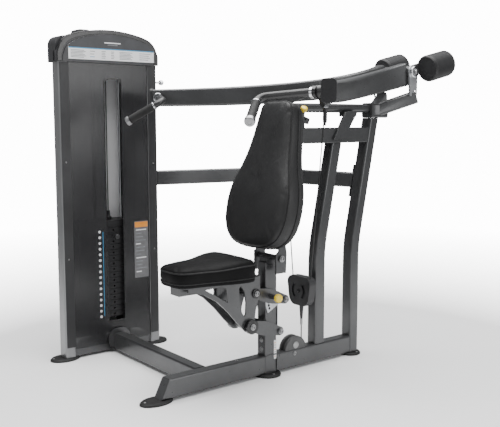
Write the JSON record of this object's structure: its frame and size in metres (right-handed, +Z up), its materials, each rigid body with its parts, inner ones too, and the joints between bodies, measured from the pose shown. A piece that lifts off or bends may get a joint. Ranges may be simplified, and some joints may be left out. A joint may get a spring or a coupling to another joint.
{
  "type": "shoulder press machine",
  "caption": "Selectorized shoulder press: side weight tower, padded seat and back rest, and counterweighted overhead arms with grips.",
  "frame": {"origin": "on the floor under the middle of the seat post", "axes": "+Z up, +Y towards the rear of the machine, +X the user's left; the weight tower stands on the -X side"},
  "size_m": [1.5748, 1.8271, 1.64],
  "materials": {
    "frame_paint": "charcoal metallic powder coat",
    "silver_paint": "silver coat",
    "chrome": "polished",
    "black_plastic": "fine texture",
    "black_rubber": "matte",
    "vinyl": "grained vinyl",
    "smoked_panel": "smoked, satin",
    "placard_white": "printed sheet",
    "stack_steel": "satin black",
    "cable_black": "coated cable",
    "yellow_plastic": "glossy"
  },
  "bodies": {
    "frame": {"base_beam_front": "frame_paint", "base_beam_rear": "frame_paint", "cross_beam": "frame_paint", "seat_post": "frame_paint", "front_upright": "frame_paint", "rear_upright": "frame_paint", "upper_beam": "frame_paint", "upper_tube": "frame_paint", "rear_brace": "frame_paint", "yoke": "frame_paint", "yoke_plate_left": "silver_paint", "yoke_plate_right": "silver_paint", "arm_axle": "chrome", "mid_beam": "frame_paint", "tower_column_front": "frame_paint", "tower_column_rear": "frame_paint", "tower_base": "frame_paint", "tower_cap": "black_plastic", "placard": "placard_white", "panel": "smoked_panel", "shroud": "black_plastic", "stack_resting": "stack_steel", "guide_rod_front": "chrome", "guide_rod_rear": "chrome", "low_pulley": "stack_steel", "link_bracket": "silver_paint", "back_hinge": "frame_paint", "strut_guide": "frame_paint", "foot_front": "black_rubber", "foot_post": "black_rubber", "foot_rear": "black_rubber", "foot_tower_front": "black_rubber", "foot_tower_rear": "black_rubber"},
    "stack": {"stack_lifted": "stack_steel", "selector_rod": "chrome", "stack_cable": "cable_black"},
    "selector": {"selector_pin": "black_plastic"},
    "addon": {"addon_knob": "chrome"},
    "arm_left": {"press_arm_left": "frame_paint", "arm_end_cap_left": "black_plastic", "handle_left": "frame_paint", "grip_left": "black_rubber", "counterweight_left": "stack_steel"},
    "arm_right": {"press_arm_right": "frame_paint", "arm_end_cap_right": "black_plastic", "handle_right": "frame_paint", "grip_right": "black_rubber", "counterweight_right": "stack_steel"},
    "floating_pulley": {"pulley_block": "black_plastic", "strap_cable": "cable_black", "lift_cable": "cable_black"},
    "upper_link": {"seat_link_upper": "frame_paint"},
    "lower_link": {"seat_link_lower": "frame_paint"},
    "seat": {"seat_carrier": "frame_paint", "seat_cushion": "vinyl"},
    "seat_pop_pin": {"seat_pin": "yellow_plastic"},
    "back_pad": {"back_cushion": "vinyl", "back_shell": "black_plastic", "back_bracket": "frame_paint"},
    "back_pop_pin": {"back_pin": "yellow_plastic"}
  },
  "joints": [
    {"name": "stack_lift", "type": "slide", "parent": "frame", "child": "stack", "axis": [0, 0, 1], "range_m": [0, 0.34], "deforming": ["stack_cable"]},
    {"name": "selector_pull", "type": "slide", "parent": "stack", "child": "selector", "axis": [1, 0, 0], "range_m": [0, 0.045]},
    {"name": "addon_slide", "type": "slide", "parent": "frame", "child": "addon", "axis": [0, 1, 0], "range_m": [0, 0.02]},
    {"name": "arm_left_pivot", "type": "hinge", "parent": "frame", "child": "arm_left", "pos_m": [0, 0.862, 1.442], "axis": [-1, 0, 0], "range_deg": [0, 30]},
    {"name": "arm_right_pivot", "type": "hinge", "parent": "frame", "child": "arm_right", "pos_m": [0, 0.862, 1.442], "axis": [-1, 0, 0], "range_deg": [0, 30]},
    {"name": "pulley_rise", "type": "slide", "parent": "frame", "child": "floating_pulley", "axis": [0, 0, 1], "range_m": [0, 0.35], "deforming": ["lift_cable"]},
    {"name": "seat_drop", "type": "hinge", "parent": "frame", "child": "upper_link", "pos_m": [0, 0.075, 0.36], "axis": [1, 0, 0], "range_deg": [0, 35]},
    {"name": "lower_link_turn", "type": "hinge", "parent": "frame", "child": "lower_link", "pos_m": [0, 0.043, 0.212], "axis": [1, 0, 0], "range_deg": [0, 35]},
    {"name": "seat_level", "type": "hinge", "parent": "upper_link", "child": "seat", "pos_m": [0, -0.113, 0.416], "axis": [1, 0, 0], "range_deg": [-35, 0]},
    {"name": "seat_pin_pull", "type": "slide", "parent": "upper_link", "child": "seat_pop_pin", "axis": [1, 0, 0], "range_m": [0, 0.012], "stiffness_N_per_m": 800, "springref_m": -0.01},
    {"name": "back_pad_tilt", "type": "hinge", "parent": "frame", "child": "back_pad", "pos_m": [0, 0.015, 0.565], "axis": [1, 0, 0], "range_deg": [0, 6]},
    {"name": "back_pin_pull", "type": "slide", "parent": "frame", "child": "back_pop_pin", "axis": [0.5794, -0.1598, 0.7992], "range_m": [0, 0.012], "stiffness_N_per_m": 800, "springref_m": -0.01}
  ],
  "couplings": [
    {"joint": "arm_left_pivot", "follows": "stack_lift", "rad_per_m": 1.5063},
    {"joint": "arm_right_pivot", "follows": "stack_lift", "rad_per_m": 1.5063},
    {"joint": "pulley_rise", "follows": "stack_lift", "ratio": 1},
    {"joint": "lower_link_turn", "follows": "seat_drop", "ratio": 1},
    {"joint": "seat_level", "follows": "seat_drop", "ratio": -1}
  ]
}
